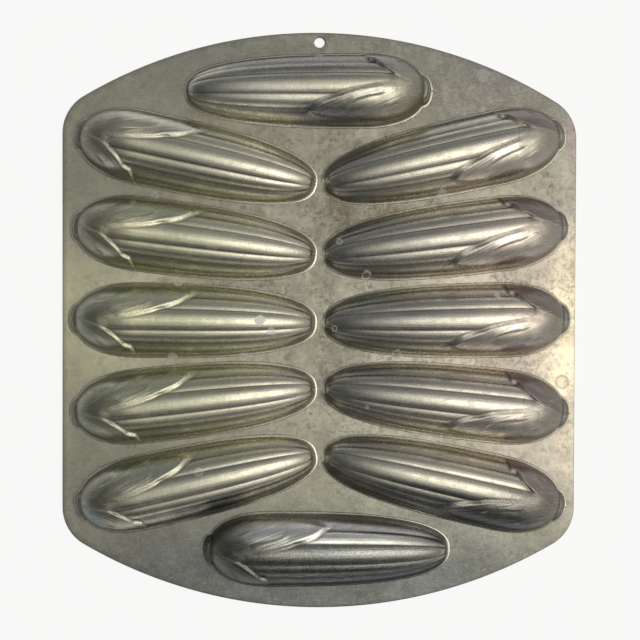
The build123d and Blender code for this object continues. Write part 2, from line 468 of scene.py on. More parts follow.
# Close seams and poles, turn faces outward and say what is left open
def closeMesh(mesh, gap, label, sharp=None):
    solid = bmesh.new()
    solid.from_mesh(mesh)
    bmesh.ops.remove_doubles(solid, verts=solid.verts, dist=gap)
    bmesh.ops.recalc_face_normals(solid, faces=solid.faces)
    if sharp:
        for edge in solid.edges:
            edge.smooth = not (edge.is_manifold and edge.calc_face_angle() > sharp)
    openEdges = sum(1 for edge in solid.edges if not edge.is_manifold)
    print(label, len(solid.verts), "points", len(solid.faces), "faces", openEdges, "open edges")
    solid.to_mesh(mesh)
    solid.free()


def feed(tree, socket, value):
    if isinstance(value, bpy.types.NodeSocket):
        tree.links.new(value, socket)
    else:
        socket.default_value = value


def addNode(tree, kind, inputs=None, **settings):
    node = tree.nodes.new(kind)
    for name, value in settings.items():
        setattr(node, name, value)
    for socket, value in (inputs or {}).items():
        feed(tree, node.inputs[socket], value)
    return node


def mathOf(tree, operation, a, b=0.0, clamp=False):
    return addNode(tree, "ShaderNodeMath", {0: a, 1: b}, operation=operation, use_clamp=clamp).outputs[0]


def times(tree, a, b):
    return mathOf(tree, "MULTIPLY", a, b)


def plus(tree, a, b):
    return mathOf(tree, "ADD", a, b)


def minus(tree, a, b, clamp=False):
    return mathOf(tree, "SUBTRACT", a, b, clamp)


def vectorOf(tree, operation, a, b=(0.0, 0.0, 0.0), output="Vector"):
    return addNode(tree, "ShaderNodeVectorMath", {0: a, 1: b}, operation=operation).outputs[output]


def rangeOf(tree, value, low, high, toLow=0.0, toHigh=1.0, kind="SMOOTHSTEP"):
    node = addNode(tree, "ShaderNodeMapRange", {
        "Value": value, "From Min": low, "From Max": high, "To Min": toLow, "To Max": toHigh,
    }, interpolation_type=kind)
    return node.outputs[0]


def namedInputs(tree, kinds):
    for name, (kind, value) in kinds.items():
        socket = tree.interface.new_socket(name, in_out="INPUT", socket_type="NodeSocket" + kind)
        if value is not None:
            socket.default_value = value
    return tree.nodes.new("NodeGroupInput").outputs


# Geometry nodes: kernel rows on a mould, kernels in its hollow, and its place on the deck
def kernelRowTree():
    tree = bpy.data.node_groups.new("kernelRows", "GeometryNodeTree")
    given = namedInputs(tree, {
        "Mould": ("Geometry", None),
        "Inner Crease": ("Float", rows["innerCrease"]),
        "Outer Crease": ("Float", rows["outerCrease"]),
        "Inner Depth": ("Float", rows["innerDepth"]),
        "Outer Depth": ("Float", rows["outerDepth"]),
        "Crease Power": ("Float", rows["creasePower"]),
        "Tip Fade": ("Float", rows["rightFade"]),
        "Kernel Pitch": ("Float", rows["kernelPitch"]),
        "Kernel Depth": ("Float", rows["kernelDepth"]),
        "Place": ("Vector", (0.0, 0.0, 0.0)),
        "Turn": ("Float", 0.0),
        "Unit": ("Float", mm),
        "Finish": ("Material", None),
    })
    tree.interface.new_socket("Mould", in_out="OUTPUT", socket_type="NodeSocketGeometry")

    def mark(name):
        node = addNode(tree, "GeometryNodeInputNamedAttribute", {"Name": name}, data_type="FLOAT")
        return node.outputs["Attribute"]

    inner, outer = given["Inner Crease"], given["Outer Crease"]
    angle = mathOf(tree, "ABSOLUTE", mark("rowAngle"))
    towardsInner = mathOf(
        tree, "MINIMUM",
        rangeOf(tree, angle, 0.0, inner, 0, 1, "LINEAR"),
        rangeOf(tree, angle, inner, outer, 1, 0, "LINEAR"),
    )
    towardsOuter = mathOf(
        tree, "MINIMUM",
        rangeOf(tree, angle, inner, outer, 0, 1, "LINEAR"),
        rangeOf(tree, angle, outer, 90.0, 1, 0, "LINEAR"),
    )
    power = given["Crease Power"]
    innerDrop = times(tree, mathOf(tree, "POWER", towardsInner, power), given["Inner Depth"])
    outerDrop = times(tree, mathOf(tree, "POWER", towardsOuter, power), given["Outer Depth"])
    fade = mathOf(tree, "POWER", mark("reach"), given["Tip Fade"])
    bare = mark("bare")
    shown = times(tree, bare, fade)
    drop = times(tree, plus(tree, innerDrop, outerDrop), shown)
    drop = times(tree, drop, mark("facing"))

    # Kernels: pockets in rows on the hollow side, every second row set off by half a pitch
    second = minus(
        tree, mathOf(tree, "GREATER_THAN", angle, inner), mathOf(tree, "GREATER_THAN", angle, outer))
    place = mathOf(tree, "DIVIDE", mark("along"), given["Kernel Pitch"])
    place = plus(tree, place, times(tree, second, 0.5))
    ridge = mathOf(tree, "ABSOLUTE", mathOf(tree, "SINE", times(tree, place, math.pi)))
    ridge = mathOf(tree, "POWER", ridge, rows["kernelRound"])
    across = mathOf(tree, "MAXIMUM", towardsInner, towardsOuter)
    across = minus(tree, 1.0, mathOf(tree, "POWER", across, rows["kernelEdge"]))
    inHollow = mathOf(tree, "GREATER_THAN", mark("facing"), 0.5)
    notFoot = rangeOf(tree, angle, *rows["kernelFoot"])
    notTip = rangeOf(tree, mark("along"), *rows["kernelTip"])
    pocket = given["Kernel Depth"]
    for factor in (ridge, across, inHollow, notFoot, notTip, bare):
        pocket = times(tree, pocket, factor)

    normal = tree.nodes.new("GeometryNodeInputNormal").outputs[0]
    offset = addNode(tree, "ShaderNodeVectorMath", {
        0: normal, "Scale": minus(tree, drop, pocket)}, operation="SCALE").outputs[0]
    carved = addNode(tree, "GeometryNodeSetPosition", {"Geometry": given["Mould"], "Offset": offset})
    spot = addNode(tree, "GeometryNodePoints", {"Position": given["Place"]})
    turned = addNode(tree, "ShaderNodeCombineXYZ", {"Z": given["Turn"]})
    unit = given["Unit"]
    size = addNode(tree, "ShaderNodeCombineXYZ", {"X": unit, "Y": unit, "Z": unit})
    onDeck = addNode(tree, "GeometryNodeInstanceOnPoints", {
        "Points": spot.outputs[0], "Instance": carved.outputs[0],
        "Rotation": turned.outputs[0], "Scale": size.outputs[0]})
    real = addNode(tree, "GeometryNodeRealizeInstances", {"Geometry": onDeck.outputs[0]})
    finished = addNode(tree, "GeometryNodeSetMaterial", {
        "Geometry": real.outputs[0], "Material": given["Finish"]})
    output = tree.nodes.new("NodeGroupOutput")
    tree.links.new(finished.outputs[0], output.inputs[0])
    return tree


# Name, tip place and turn of every ear
def earPlaces():
    places = [
        ("top", layout["topEarTipX"], layout["endEarY"], 0.0),
        ("bottom", layout["bottomEarTipX"], -layout["endEarY"], 180.0),
    ]
    for row, angle in enumerate(layout["fanAngles"]):
        y = (2 - row) * layout["rowPitch"] - ear["widest"] * math.sin(math.radians(angle))
        places.append((f"left_{row + 1}", -layout["tipGap"] / 2, y, 180.0 - angle))
        places.append((f"right_{row + 1}", layout["tipGap"] / 2, y, angle))
    return places


def makeEars(material):
    vertices, faces, masks = earPattern()
    pattern = meshFrom("pattern", vertices, faces)
    for column, label in enumerate(markNames):
        layer = pattern.attributes.new(label, "FLOAT", "POINT")
        layer.data.foreach_set("value", masks[:, column].astype(np.float32))
    closeMesh(pattern, 0.0005, "ear pattern")
    tree = kernelRowTree()
    keys = {item.name: item.identifier for item in tree.interface.items_tree if item.in_out == "INPUT"}
    for place, x, y, turn in earPlaces():
        piece = bpy.data.objects.new("earMould_" + place, pattern.copy())
        bpy.context.scene.collection.objects.link(piece)
        carve = piece.modifiers.new("kernelRows", "NODES")
        carve.node_group = tree
        pointsLeft = math.cos(math.radians(turn)) > 0
        carve[keys["Tip Fade"]] = rows["rightFade"] if pointsLeft else rows["leftFade"]
        carve[keys["Place"]] = (x * mm, y * mm, deckTop * mm)
        carve[keys["Turn"]] = math.radians(turn)
        carve[keys["Finish"]] = material
        depsgraph = bpy.context.evaluated_depsgraph_get()
        mesh = bpy.data.meshes.new_from_object(
            piece.evaluated_get(depsgraph), preserve_all_data_layers=True, depsgraph=depsgraph)
        piece.modifiers.clear()
        piece.data = mesh
        mesh.name = piece.name
        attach(piece, "root")
        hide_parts("ear_mould_" + place)
    print("ears made")


# Deck: flat plate with bowed ends, a little out of square (mm)
deck = {
    "arcRise": 46.3,
    "cornerRadius": 26.0,
    "cornerDrop": 4.0,
    "sideLean": 1.8,
    "topRound": 0.9,
    "faceRound": 0.5,
    "holeRadius": 3.2,
    "holeEdge": 2.7,
    "holeSink": 0.8,
    "pointGap": 3.6,
    "unevenness": 0.14,
    "roundCuts": 5,
    "holeCuts": 48,
    "mouthCuts": 90,
    "sharpAngle": 0.6,           # radians, past which an edge is drawn sharp
}


def circleThrough(a, b, c):
    a, b, c = (np.array(p, float) for p in (a, b, c))
    system = 2 * np.array([b - a, c - a])
    centre = np.linalg.solve(system, np.array([b @ b - a @ a, c @ c - a @ a]))
    return centre, np.linalg.norm(a - centre)


# Centre of the round corner between a straight side and a bowed end
def cornerCentre(point, along, outward, arcCentre, arcRadius, end):
    start = point - deck["cornerRadius"] * outward - arcCentre
    half = start @ along
    root = math.sqrt(half ** 2 - start @ start + (arcRadius - deck["cornerRadius"]) ** 2)
    return point - deck["cornerRadius"] * outward + along * (end * root - half)


def arcPoints(centre, radius, start, stop, cuts):
    turn = np.linspace(start, stop, cuts, endpoint=False)
    return centre + radius * np.stack([np.cos(turn), np.sin(turn)], -1)


# Closed outline, anticlockwise from the right side, moved in by an inset
def deckOutline(inset, cuts=14):
    width, length = deckHigh[0], deckHigh[1]
    cornerY = length - deck["arcRise"]
    topRight = np.array((width, cornerY - deck["cornerDrop"]))
    bottomRight = np.array((width - deck["sideLean"], -cornerY))
    topCentre, topRadius = circleThrough(topRight, (0, length), (-width, cornerY))
    lowCentre, lowRadius = circleThrough((-width, -cornerY), (0, -length), bottomRight)
    rightAlong = (topRight - bottomRight) / np.linalg.norm(topRight - bottomRight)
    rightOut = np.array((rightAlong[1], -rightAlong[0]))
    leftAlong, leftOut = np.array((0.0, 1.0)), np.array((-1.0, 0.0))
    leftPoint = np.array((-width, 0.0))
    centres = [
        cornerCentre(bottomRight, rightAlong, rightOut, topCentre, topRadius, 1),
        cornerCentre(leftPoint, leftAlong, leftOut, topCentre, topRadius, 1),
        cornerCentre(leftPoint, leftAlong, leftOut, lowCentre, lowRadius, -1),
        cornerCentre(bottomRight, rightAlong, rightOut, lowCentre, lowRadius, -1),
    ]

    def heading(vector):
        return math.atan2(vector[1], vector[0])

    right = heading(rightOut)
    meets = [heading(centres[0] - topCentre), heading(centres[1] - topCentre),
             heading(centres[2] - lowCentre) + 2 * math.pi, heading(centres[3] - lowCentre) + 2 * math.pi]
    corner = deck["cornerRadius"] - inset
    steps = np.linspace(0, 1, cuts * 2, endpoint=False)[:, None]
    leftStart, leftStop = centres[1] + leftOut * corner, centres[2] + leftOut * corner
    rightStart, rightStop = centres[3] + rightOut * corner, centres[0] + rightOut * corner
    return np.concatenate([
        arcPoints(centres[0], corner, right, meets[0], cuts),
        arcPoints(topCentre, topRadius - inset, meets[0], meets[1], cuts * 4),
        arcPoints(centres[1], corner, meets[1], math.pi, cuts),
        leftStart + (leftStop - leftStart) * steps,
        arcPoints(centres[2], corner, math.pi, meets[2], cuts),
        arcPoints(lowCentre, lowRadius - inset, meets[2], meets[3], cuts * 4),
        arcPoints(centres[3], corner, meets[3], right + 2 * math.pi, cuts),
        rightStart + (rightStop - rightStart) * steps,
    ])


def insidePolygon(points, polygon):
    hit = np.zeros(len(points), bool)
    for a, b in zip(polygon, np.roll(polygon, -1, 0)):
        crosses = (a[1] > points[:, 1]) != (b[1] > points[:, 1])
        rise = b[1] - a[1] if b[1] != a[1] else 1e-9
        hit ^= crosses & (points[:, 0] < a[0] + (points[:, 1] - a[1]) * (b[0] - a[0]) / rise)
    return hit


def clearOf(points, polygon, gap):
    best = np.full(len(points), 1e9)
    for corner in polygon:
        best = np.minimum(best, np.hypot(points[:, 0] - corner[0], points[:, 1] - corner[1]))
    return best > gap


def mouthLoops():
    innerX, innerScale = outlineStations(deck["mouthCuts"], ear["wall"])
    innerY = (ear["bodyHalfWidth"] - ear["wall"]) * innerScale
    seatX, seatY = planOffset(innerX, innerY + 1e-6, ear["seat"])
    seatY[0] = seatY[-1] = 0
    loop = np.concatenate([np.stack([seatX, seatY], -1), np.stack([seatX, -seatY], -1)[-2:0:-1]])
    mouths = []
    for _, x, y, turn in earPlaces():
        c, s = math.cos(math.radians(turn)), math.sin(math.radians(turn))
        across = x + loop[:, 0] * c - loop[:, 1] * s
        upward = y + loop[:, 0] * s + loop[:, 1] * c
        mouths.append(np.stack([across, upward], -1))
    return mouths


def makeDeck(material):
    rings = []
    turns = np.linspace(0, math.pi / 2, deck["roundCuts"])
    for turn in turns:
        edge = deck["topRound"]
        rings.append((deckOutline(edge * (1 - math.sin(turn))), deckTop - edge * (1 - math.cos(turn))))
    for turn in turns[::-1]:
        edge = deck["faceRound"]
        rings.append((deckOutline(edge * (1 - math.sin(turn))), edge * (1 - math.cos(turn))))
    rings.append((rings[0][0], 0.0))
    holeY = deckHigh[1] - deck["holeEdge"] - deck["holeRadius"]
    sink = deck["holeSink"]
    holeRings = []
    for turn in turns:
        radius = deck["holeRadius"] + sink * (1 - math.sin(turn))
        ring = arcPoints(np.array((0, holeY)), radius, 0, 2 * math.pi, deck["holeCuts"])
        holeRings.append((ring, deckTop - sink * (1 - math.cos(turn))))
    holeRings += [(ring, deckTop - level) for ring, level in reversed(holeRings)]
    mouths = mouthLoops()

    # Both flat faces from one triangulation between the outline, the mouths and the hole
    faceLoops = [rings[0][0], *mouths, holeRings[0][0]]
    gap = deck["pointGap"]
    gx, gy = np.meshgrid(np.arange(deckLow[0], deckHigh[0], gap), np.arange(deckLow[1], deckHigh[1], gap))
    loose = np.stack([gx.ravel(), gy.ravel()], -1)
    keep = insidePolygon(loose, faceLoops[0]) & clearOf(loose, faceLoops[0], gap / 2)
    for polygon in faceLoops[1:]:
        keep &= ~insidePolygon(loose, polygon) & clearOf(loose, polygon, gap / 2)
    loose = loose[keep]
    edges = []
    start = 0
    for polygon in faceLoops:
        n = len(polygon)
        edges += [(start + k, start + (k + 1) % n) for k in range(n)]
        start += n
    allPoints = np.concatenate([*faceLoops, loose])
    out = geometry.delaunay_2d_cdt([Vector(p) for p in allPoints.tolist()], edges, [], 1, 1e-5)
    flat = np.array([tuple(v) for v in out[0]])
    triangles = np.array(out[2])
    centre = flat[triangles].mean(1)
    good = insidePolygon(centre, faceLoops[0])
    for polygon in faceLoops[1:]:
        good &= ~insidePolygon(centre, polygon)
    triangles = triangles[good]
    wave = (np.sin(flat[:, 0] * 0.11 + 1.3) * np.sin(flat[:, 1] * 0.07 + 0.4)
            + 0.6 * np.sin(flat[:, 0] * 0.05 - flat[:, 1] * 0.13 + 2.1)
            + 0.5 * np.sin(flat[:, 0] * 0.19 + flat[:, 1] * 0.17 + 0.7))
    uneven = np.where(np.arange(len(flat)) >= start, deck["unevenness"] * (wave - 2.1) * 0.4, 0)
    vertices = [np.column_stack([flat, deckTop + uneven]), np.column_stack([flat, np.zeros(len(flat))])]
    faces = [list(t) for t in triangles] + [list(t[::-1] + len(flat)) for t in triangles]
    total = 2 * len(flat)
    strips = [rings, holeRings] + [[(mouth, deckTop), (mouth, 0.0)] for mouth in mouths]
    for strip in strips:
        n = len(strip[0][0])
        vertices += [np.column_stack([ring, np.full(n, level)]) for ring, level in strip]
        for r in range(len(strip) - 1):
            for k in range(n):
                a, b = total + r * n + k, total + r * n + (k + 1) % n
                faces.append([a, b, b + n, a + n])
        total += n * len(strip)
    mesh = meshFrom("deckPlate", np.concatenate(vertices) * mm, faces)
    closeMesh(mesh, 0.001 * mm, "deck", sharp=deck["sharpAngle"])
    piece = bpy.data.objects.new("deckPlate", mesh)
    bpy.context.scene.collection.objects.link(piece)
    mesh.materials.append(material)
    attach(piece, "root")
    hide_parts("deck_plate")


def mixColour(tree, factor, a, b, blend="MIX"):
    mix = addNode(tree, "ShaderNodeMix", {0: factor, 6: a, 7: b}, data_type="RGBA", blend_type=blend)
    return mix.outputs[2]


# Lay a shade over a colour where a mask is, at a strength
def tinted(tree, colour, mask, strength, shade):
    return mixColour(tree, times(tree, mask, strength), colour, (*shade, 1.0))


def noiseOf(tree, vector, scale, detail=3.0, rough=0.55, twist=0.0):
    node = addNode(tree, "ShaderNodeTexNoise", {
        "Vector": vector, "Scale": scale, "Detail": detail, "Roughness": rough, "Distortion": twist})
    return node.outputs["Fac"]


# A starting value with each mask's share added
def summed(tree, value, parts):
    for mask, share in parts:
        value = plus(tree, value, times(tree, mask, share))
    return value


# A vector pushed about by noise
def wobbled(tree, vector, scale, detail, amount, middle=0.0):
    wobble = addNode(tree, "ShaderNodeTexNoise", {"Vector": vector, "Scale": scale, "Detail": detail})
    centred = vectorOf(tree, "SUBTRACT", wobble.outputs["Color"], (middle, middle, middle))
    shift = addNode(tree, "ShaderNodeVectorMath", {0: centred, "Scale": amount}, operation="SCALE")
    return vectorOf(tree, "ADD", vector, shift.outputs[0])


def groupOutputs(tree, values):
    for name in values:
        tree.interface.new_socket(name, in_out="OUTPUT", socket_type="NodeSocketFloat")
    output = tree.nodes.new("NodeGroupOutput")
    for name, value in values.items():
        tree.links.new(value, output.inputs[name])


# Noise behind the looks: pairs are where a mask starts and where it is full
texture = {
    "cloud": (0.32, 0.68),
    "blotch": (0.42, 0.66),
    "fine": (0.36, 0.66),
    "speck": (0.78, 0.80),
    "speckSpread": 0.3,
    "waterSpot": (0.03, -0.03),
    "waterRing": (0.05, 0.01),
    "waterLeast": 0.3,
    "waterWobble": (400.0, 2.0, 0.0012),  # scale, detail and metres
    "spotStrength": 0.12,
    "ringStrength": 0.35,
    "scratch": (0.69, 0.74),
    "scratches": ((0.35, 30.0), (-0.9, 24.0)),  # radians of tilt, and stretch
    "grainHeight": 0.35,
    "dropSpot": (1.15, 0.8),      # shares of the drop's radius
    "dropRing": (0.32, 0.08),
    "dropRingAt": 0.9,
    "dropWobble": (350.0, 2.0, 0.0025),
    "line": (0.34, 0.66),
    "band": (0.36, 0.64),
    "bandScale": 0.35,
    "fibreStretch": 0.03,
    "earsApart": (3.0, 11.0, 0.0),  # moves the noise from ear to ear
    "crackWobble": (300.0, 3.0, 0.005),
    "crackPatches": 90.0,
    "crackFade": 0.08,
}


# Tarnish clouds, blotches and fine specks
def patinaGroup():
    tree = bpy.data.node_groups.new("patina", "ShaderNodeTree")
    given = namedInputs(tree, {
        "Vector": ("Vector", None), "Cloud Scale": ("Float", 22.0), "Blotch Scale": ("Float", 120.0),
        "Speck Scale": ("Float", 900.0), "Speck Share": ("Float", 0.3), "Fine Scale": ("Float", 1250.0),
    })
    cloud = noiseOf(tree, given["Vector"], given["Cloud Scale"], 4.0, 0.6, 0.4)
    blotch = noiseOf(tree, given["Vector"], given["Blotch Scale"], 6.0, 0.65, 0.8)
    speck = noiseOf(tree, given["Vector"], given["Speck Scale"], 2.0, 0.5)
    fine = noiseOf(tree, given["Vector"], given["Fine Scale"], 2.0, 0.6)
    speckLow, speckHigh = texture["speck"]
    speckLow = minus(tree, speckLow, times(tree, given["Speck Share"], texture["speckSpread"]))
    groupOutputs(tree, {
        "Cloud": rangeOf(tree, cloud, *texture["cloud"]),
        "Blotch": rangeOf(tree, blotch, *texture["blotch"]),
        "Speck": rangeOf(tree, speck, speckLow, speckHigh),
        "Fine": rangeOf(tree, fine, *texture["fine"]),
    })
    return tree


# Dried water: filled round spots and thin rings, in a share of the cells
def waterMarkGroup():
    tree = bpy.data.node_groups.new("waterMarks", "ShaderNodeTree")
    given = namedInputs(tree, {
        "Vector": ("Vector", None), "Scale": ("Float", 60.0), "Share": ("Float", 0.12),
        "Size": ("Float", 0.3), "Filled": ("Float", 0.45),
    })
    at = wobbled(tree, given["Vector"], *texture["waterWobble"])
    cells = addNode(tree, "ShaderNodeTexVoronoi", {"Vector": at, "Scale": given["Scale"]}, feature="F1")
    chance = addNode(tree, "ShaderNodeSeparateColor", {0: cells.outputs["Color"]})
    taken = mathOf(tree, "LESS_THAN", chance.outputs[0], given["Share"])
    radius = times(tree, given["Size"], plus(tree, chance.outputs[1], texture["waterLeast"]))
    away = minus(tree, cells.outputs["Distance"], radius)
    filled = mathOf(tree, "LESS_THAN", chance.outputs[2], given["Filled"])
    spot = times(tree, rangeOf(tree, away, *texture["waterSpot"]), filled)
    ring = rangeOf(tree, mathOf(tree, "ABSOLUTE", away), *texture["waterRing"])
    groupOutputs(tree, {
        "Spot": times(tree, spot, taken),
        "Ring": times(tree, ring, taken),
    })
    return tree


# Surface left by the sand mould and by years of scouring
def castGrainGroup():
    tree = bpy.data.node_groups.new("castGrain", "ShaderNodeTree")
    given = namedInputs(tree, {
        "Vector": ("Vector", None), "Grain Scale": ("Float", 1400.0), "Dent Scale": ("Float", 160.0),
        "Scratch Scale": ("Float", 90.0),
    })
    grain = noiseOf(tree, given["Vector"], given["Grain Scale"], 3.0, 0.6)
    dent = noiseOf(tree, given["Vector"], given["Dent Scale"], 3.0, 0.5)
    lines = []
    for tilt, stretch in texture["scratches"]:
        turned = addNode(tree, "ShaderNodeMapping", {
            "Vector": given["Vector"], "Rotation": (0.0, 0.0, tilt), "Scale": (1.0, stretch, 1.0)})
        streak = noiseOf(tree, turned.outputs[0], given["Scratch Scale"], 1.0, 0.4)
        lines.append(rangeOf(tree, streak, *texture["scratch"]))
    scratch = mathOf(tree, "MAXIMUM", *lines)
    height = plus(tree, times(tree, grain, texture["grainHeight"]), dent)
    groupOutputs(tree, {"Height": height, "Scratch": scratch})
    return tree


# A soft edged patch round a place on the pan
def patchGroup():
    tree = bpy.data.node_groups.new("patch", "ShaderNodeTree")
    given = namedInputs(tree, {
        "Vector": ("Vector", None), "Centre": ("Vector", (0.0, 0.0, 0.0)),
        "Size": ("Vector", (0.05, 0.05, 1.0)), "Softness": ("Float", 0.6),
        "Raggedness": ("Float", 0.3), "Detail Scale": ("Float", 60.0),
    })
    away = vectorOf(tree, "SUBTRACT", given["Vector"], given["Centre"])
    share = vectorOf(tree, "DIVIDE", away, given["Size"])
    length = vectorOf(tree, "LENGTH", share, output="Value")
    ragged = noiseOf(tree, given["Vector"], given["Detail Scale"], 4.0, 0.6)
    ragged = times(tree, minus(tree, ragged, 0.5), given["Raggedness"])
    length = summed(tree, length, ((ragged, 2.0),))
    inner = minus(tree, 1.0, given["Softness"])
    groupOutputs(tree, {"Mask": rangeOf(tree, length, 1.0, inner)})
    return tree


# One dried drop: a filled spot, or a ring where Hollow is 1
def dropGroup():
    tree = bpy.data.node_groups.new("dropMark", "ShaderNodeTree")
    given = namedInputs(tree, {
        "Vector": ("Vector", None), "Centre": ("Vector", (0.0, 0.0, 0.0)),
        "Radius": ("Float", 0.002), "Hollow": ("Float", 0.0),
    })
    away = vectorOf(tree, "SUBTRACT", given["Vector"], given["Centre"])
    level = vectorOf(tree, "MULTIPLY", away, (1.0, 1.0, 0.0))
    length = vectorOf(tree, "LENGTH", level, output="Value")
    share = mathOf(tree, "DIVIDE", length, given["Radius"])
    spot = rangeOf(tree, share, *texture["dropSpot"])
    fromRing = mathOf(tree, "ABSOLUTE", minus(tree, share, texture["dropRingAt"]))
    ring = rangeOf(tree, fromRing, *texture["dropRing"])
    filled = times(tree, spot, minus(tree, 1.0, given["Hollow"]))
    ring = times(tree, ring, given["Hollow"])
    groupOutputs(tree, {"Mask": plus(tree, filled, ring)})
    return tree


# Fine lines along the rows and along the veins of the leaves
def fibreGroup():
    tree = bpy.data.node_groups.new("fibre", "ShaderNodeTree")
    given = namedInputs(tree, {
        "Vector": ("Vector", None), "Along": ("Float", 0.0), "Angle": ("Float", 0.0),
        "Leaf": ("Float", 0.0), "Short Leaf": ("Float", 0.0), "Long Vein": ("Float", 1.03),
        "Short Vein": ("Float", -1.6), "Fineness": ("Float", 0.5),
    })
    slope = times(tree, given["Long Vein"], minus(tree, 1.0, given["Short Leaf"]))
    slope = plus(tree, slope, times(tree, given["Short Vein"], given["Short Leaf"]))
    slope = times(tree, slope, given["Leaf"])
    across = minus(tree, given["Angle"], times(tree, slope, given["Along"]))
    fine = addNode(tree, "ShaderNodeCombineXYZ", {
        0: times(tree, given["Along"], texture["fibreStretch"]),
        1: times(tree, across, given["Fineness"]),
        2: vectorOf(tree, "DOT_PRODUCT", given["Vector"], texture["earsApart"], "Value")}).outputs[0]
    line = noiseOf(tree, fine, 1.0, 3.0, 0.6)
    band = noiseOf(tree, fine, texture["bandScale"], 2.0, 0.5)
    groupOutputs(tree, {
        "Line": rangeOf(tree, line, *texture["line"]),
        "Band": rangeOf(tree, band, *texture["band"]),
    })
    return tree


# Thin broken cracks
def crackGroup():
    tree = bpy.data.node_groups.new("crack", "ShaderNodeTree")
    given = namedInputs(tree, {
        "Vector": ("Vector", None), "Scale": ("Float", 130.0), "Width": ("Float", 0.06),
        "Share": ("Float", 0.5),
    })
    at = wobbled(tree, given["Vector"], *texture["crackWobble"])
    cells = addNode(tree, "ShaderNodeTexVoronoi", {
        "Vector": at, "Scale": given["Scale"]}, feature="DISTANCE_TO_EDGE")
    line = rangeOf(tree, cells.outputs["Distance"], given["Width"], 0.0)
    patches = noiseOf(tree, given["Vector"], texture["crackPatches"], 2.0, 0.5)
    here = rangeOf(tree, patches, given["Share"], plus(tree, given["Share"], texture["crackFade"]))
    groupOutputs(tree, {"Crack": times(tree, line, here)})
    return tree


groups = {
    "patina": patinaGroup(), "water": waterMarkGroup(), "grain": castGrainGroup(), "patch": patchGroup(),
    "drop": dropGroup(), "fibre": fibreGroup(), "crack": crackGroup(),
}


def useGroup(tree, name, inputs):
    node = tree.nodes.new("ShaderNodeGroup")
    node.node_tree = groups[name]
    for socket, value in inputs.items():
        feed(tree, node.inputs[socket], value)
    return node.outputs


# Tinted places on the pan, and patches of painted highlight, painted shade and painted reflection: centre
# and size in mm, softness, raggedness, colour, strength
tintsAndPaintedLight = {
    "greenLeft": ((-130, 2), (95, 85), 0.9, 0.3, (0.65, 0.645, 0.44), 0.85),
    "warmRight": ((135, -12), (135, 130), 0.9, 0.3, (0.63, 0.55, 0.49), 0.9),
    "greyHead": ((30, 165), (230, 50), 0.7, 0.3, (0.215, 0.218, 0.195), 0.75),
    "greyFoot": ((-10, -168), (230, 70), 0.6, 0.2, (0.135, 0.15, 0.155), 0.95),
    "dimCorner": ((108, 138), (78, 62), 0.9, 0.3, (0.165, 0.155, 0.15), 0.7),
    "creamMiddle": ((72, -22), (66, 28), 0.8, 0.5, (0.64, 0.58, 0.48), 0.8),
    "brownMiddle": ((30, 70), (44, 46), 0.8, 1.0, (0.12, 0.098, 0.075), 0.85),
    # painted highlight with a warm tint along the deck's right edge
    "goldEdgeHighlight": ((152, -12), (27, 82), 0.8, 0.6, (1.0, 0.88, 0.62), 0.7),
    "plumEdge": ((153, 112), (7, 34), 0.8, 0.5, (0.34, 0.24, 0.29), 0.5),
    "greenEars": ((-110, 0), (105, 165), 0.9, 0.3, (0.60, 0.625, 0.43), 0.9),
    # painted highlights on the crests of the left ears and the husks of the right ears
    "goldCrestHighlight": ((-116, 32), (36, 125), 0.9, 0.4, (0.98, 0.95, 0.62), 0.75),
    "beigeHuskHighlight": ((118, 18), (32, 105), 0.8, 0.5, (0.92, 0.80, 0.66), 0.6),
    "warmEars": ((118, 5), (75, 150), 0.8, 0.3, (0.50, 0.445, 0.425), 0.85),
    # painted shade and painted highlights on the top ear, the bottom ear and the low right ears
    "bottomLeftPaintedShade": ((-66, -140), (62, 30), 0.6, 0.3, (0.095, 0.108, 0.11), 0.92),
    "bottomEarLowPaintedShade": ((8, -157), (92, 15), 0.5, 0.3, (0.085, 0.09, 0.09), 0.85),
    "topEarPaintedShade": ((-4, 157), (120, 15), 0.5, 0.3, (0.13, 0.135, 0.138), 0.85),
    "topEarHighlight": ((-40, 131), (46, 12), 0.6, 0.2, (1.0, 0.98, 0.86), 0.9),
    "topLeafPaintedShade": ((6, 121), (30, 11), 0.6, 0.3, (0.17, 0.175, 0.18), 0.8),
    "lowRightLeafPaintedShade": ((116, -116), (56, 21), 0.6, 0.3, (0.10, 0.104, 0.10), 0.88),
    "lowRightWallPaintedShade": ((66, -106), (52, 11), 0.7, 0.3, (0.17, 0.173, 0.165), 0.6),
    "bottomEarHighlight": ((10, -126), (105, 8), 0.6, 0.2, (0.95, 0.95, 0.92), 0.85),
    # painted shade over the ears' tips, darker on the right hand ears
    "tipsPaintedShade": ((-4, 0), (48, 130), 0.9, 0.4, (0.32, 0.31, 0.27), 0.5),
    "rightTipsPaintedShade": ((45, 5), (55, 130), 0.9, 0.4, (0.345, 0.34, 0.315), 0.85),
    # painted teal reflections on the low left ears
    "tealReflectionOne": ((-136, -118), (8, 10), 0.7, 0.9, (0.30, 0.48, 0.50), 0.85),
    "tealReflectionTwo": ((-61, -145), (12, 7), 0.7, 0.9, (0.22, 0.40, 0.43), 0.85),
    "tealReflectionThree": ((-140, -62), (5, 7), 0.6, 0.9, (0.36, 0.48, 0.46), 0.5),
    "tealReflectionFour": ((-136, -7), (5, 6), 0.6, 0.9, (0.36, 0.46, 0.46), 0.5),
}
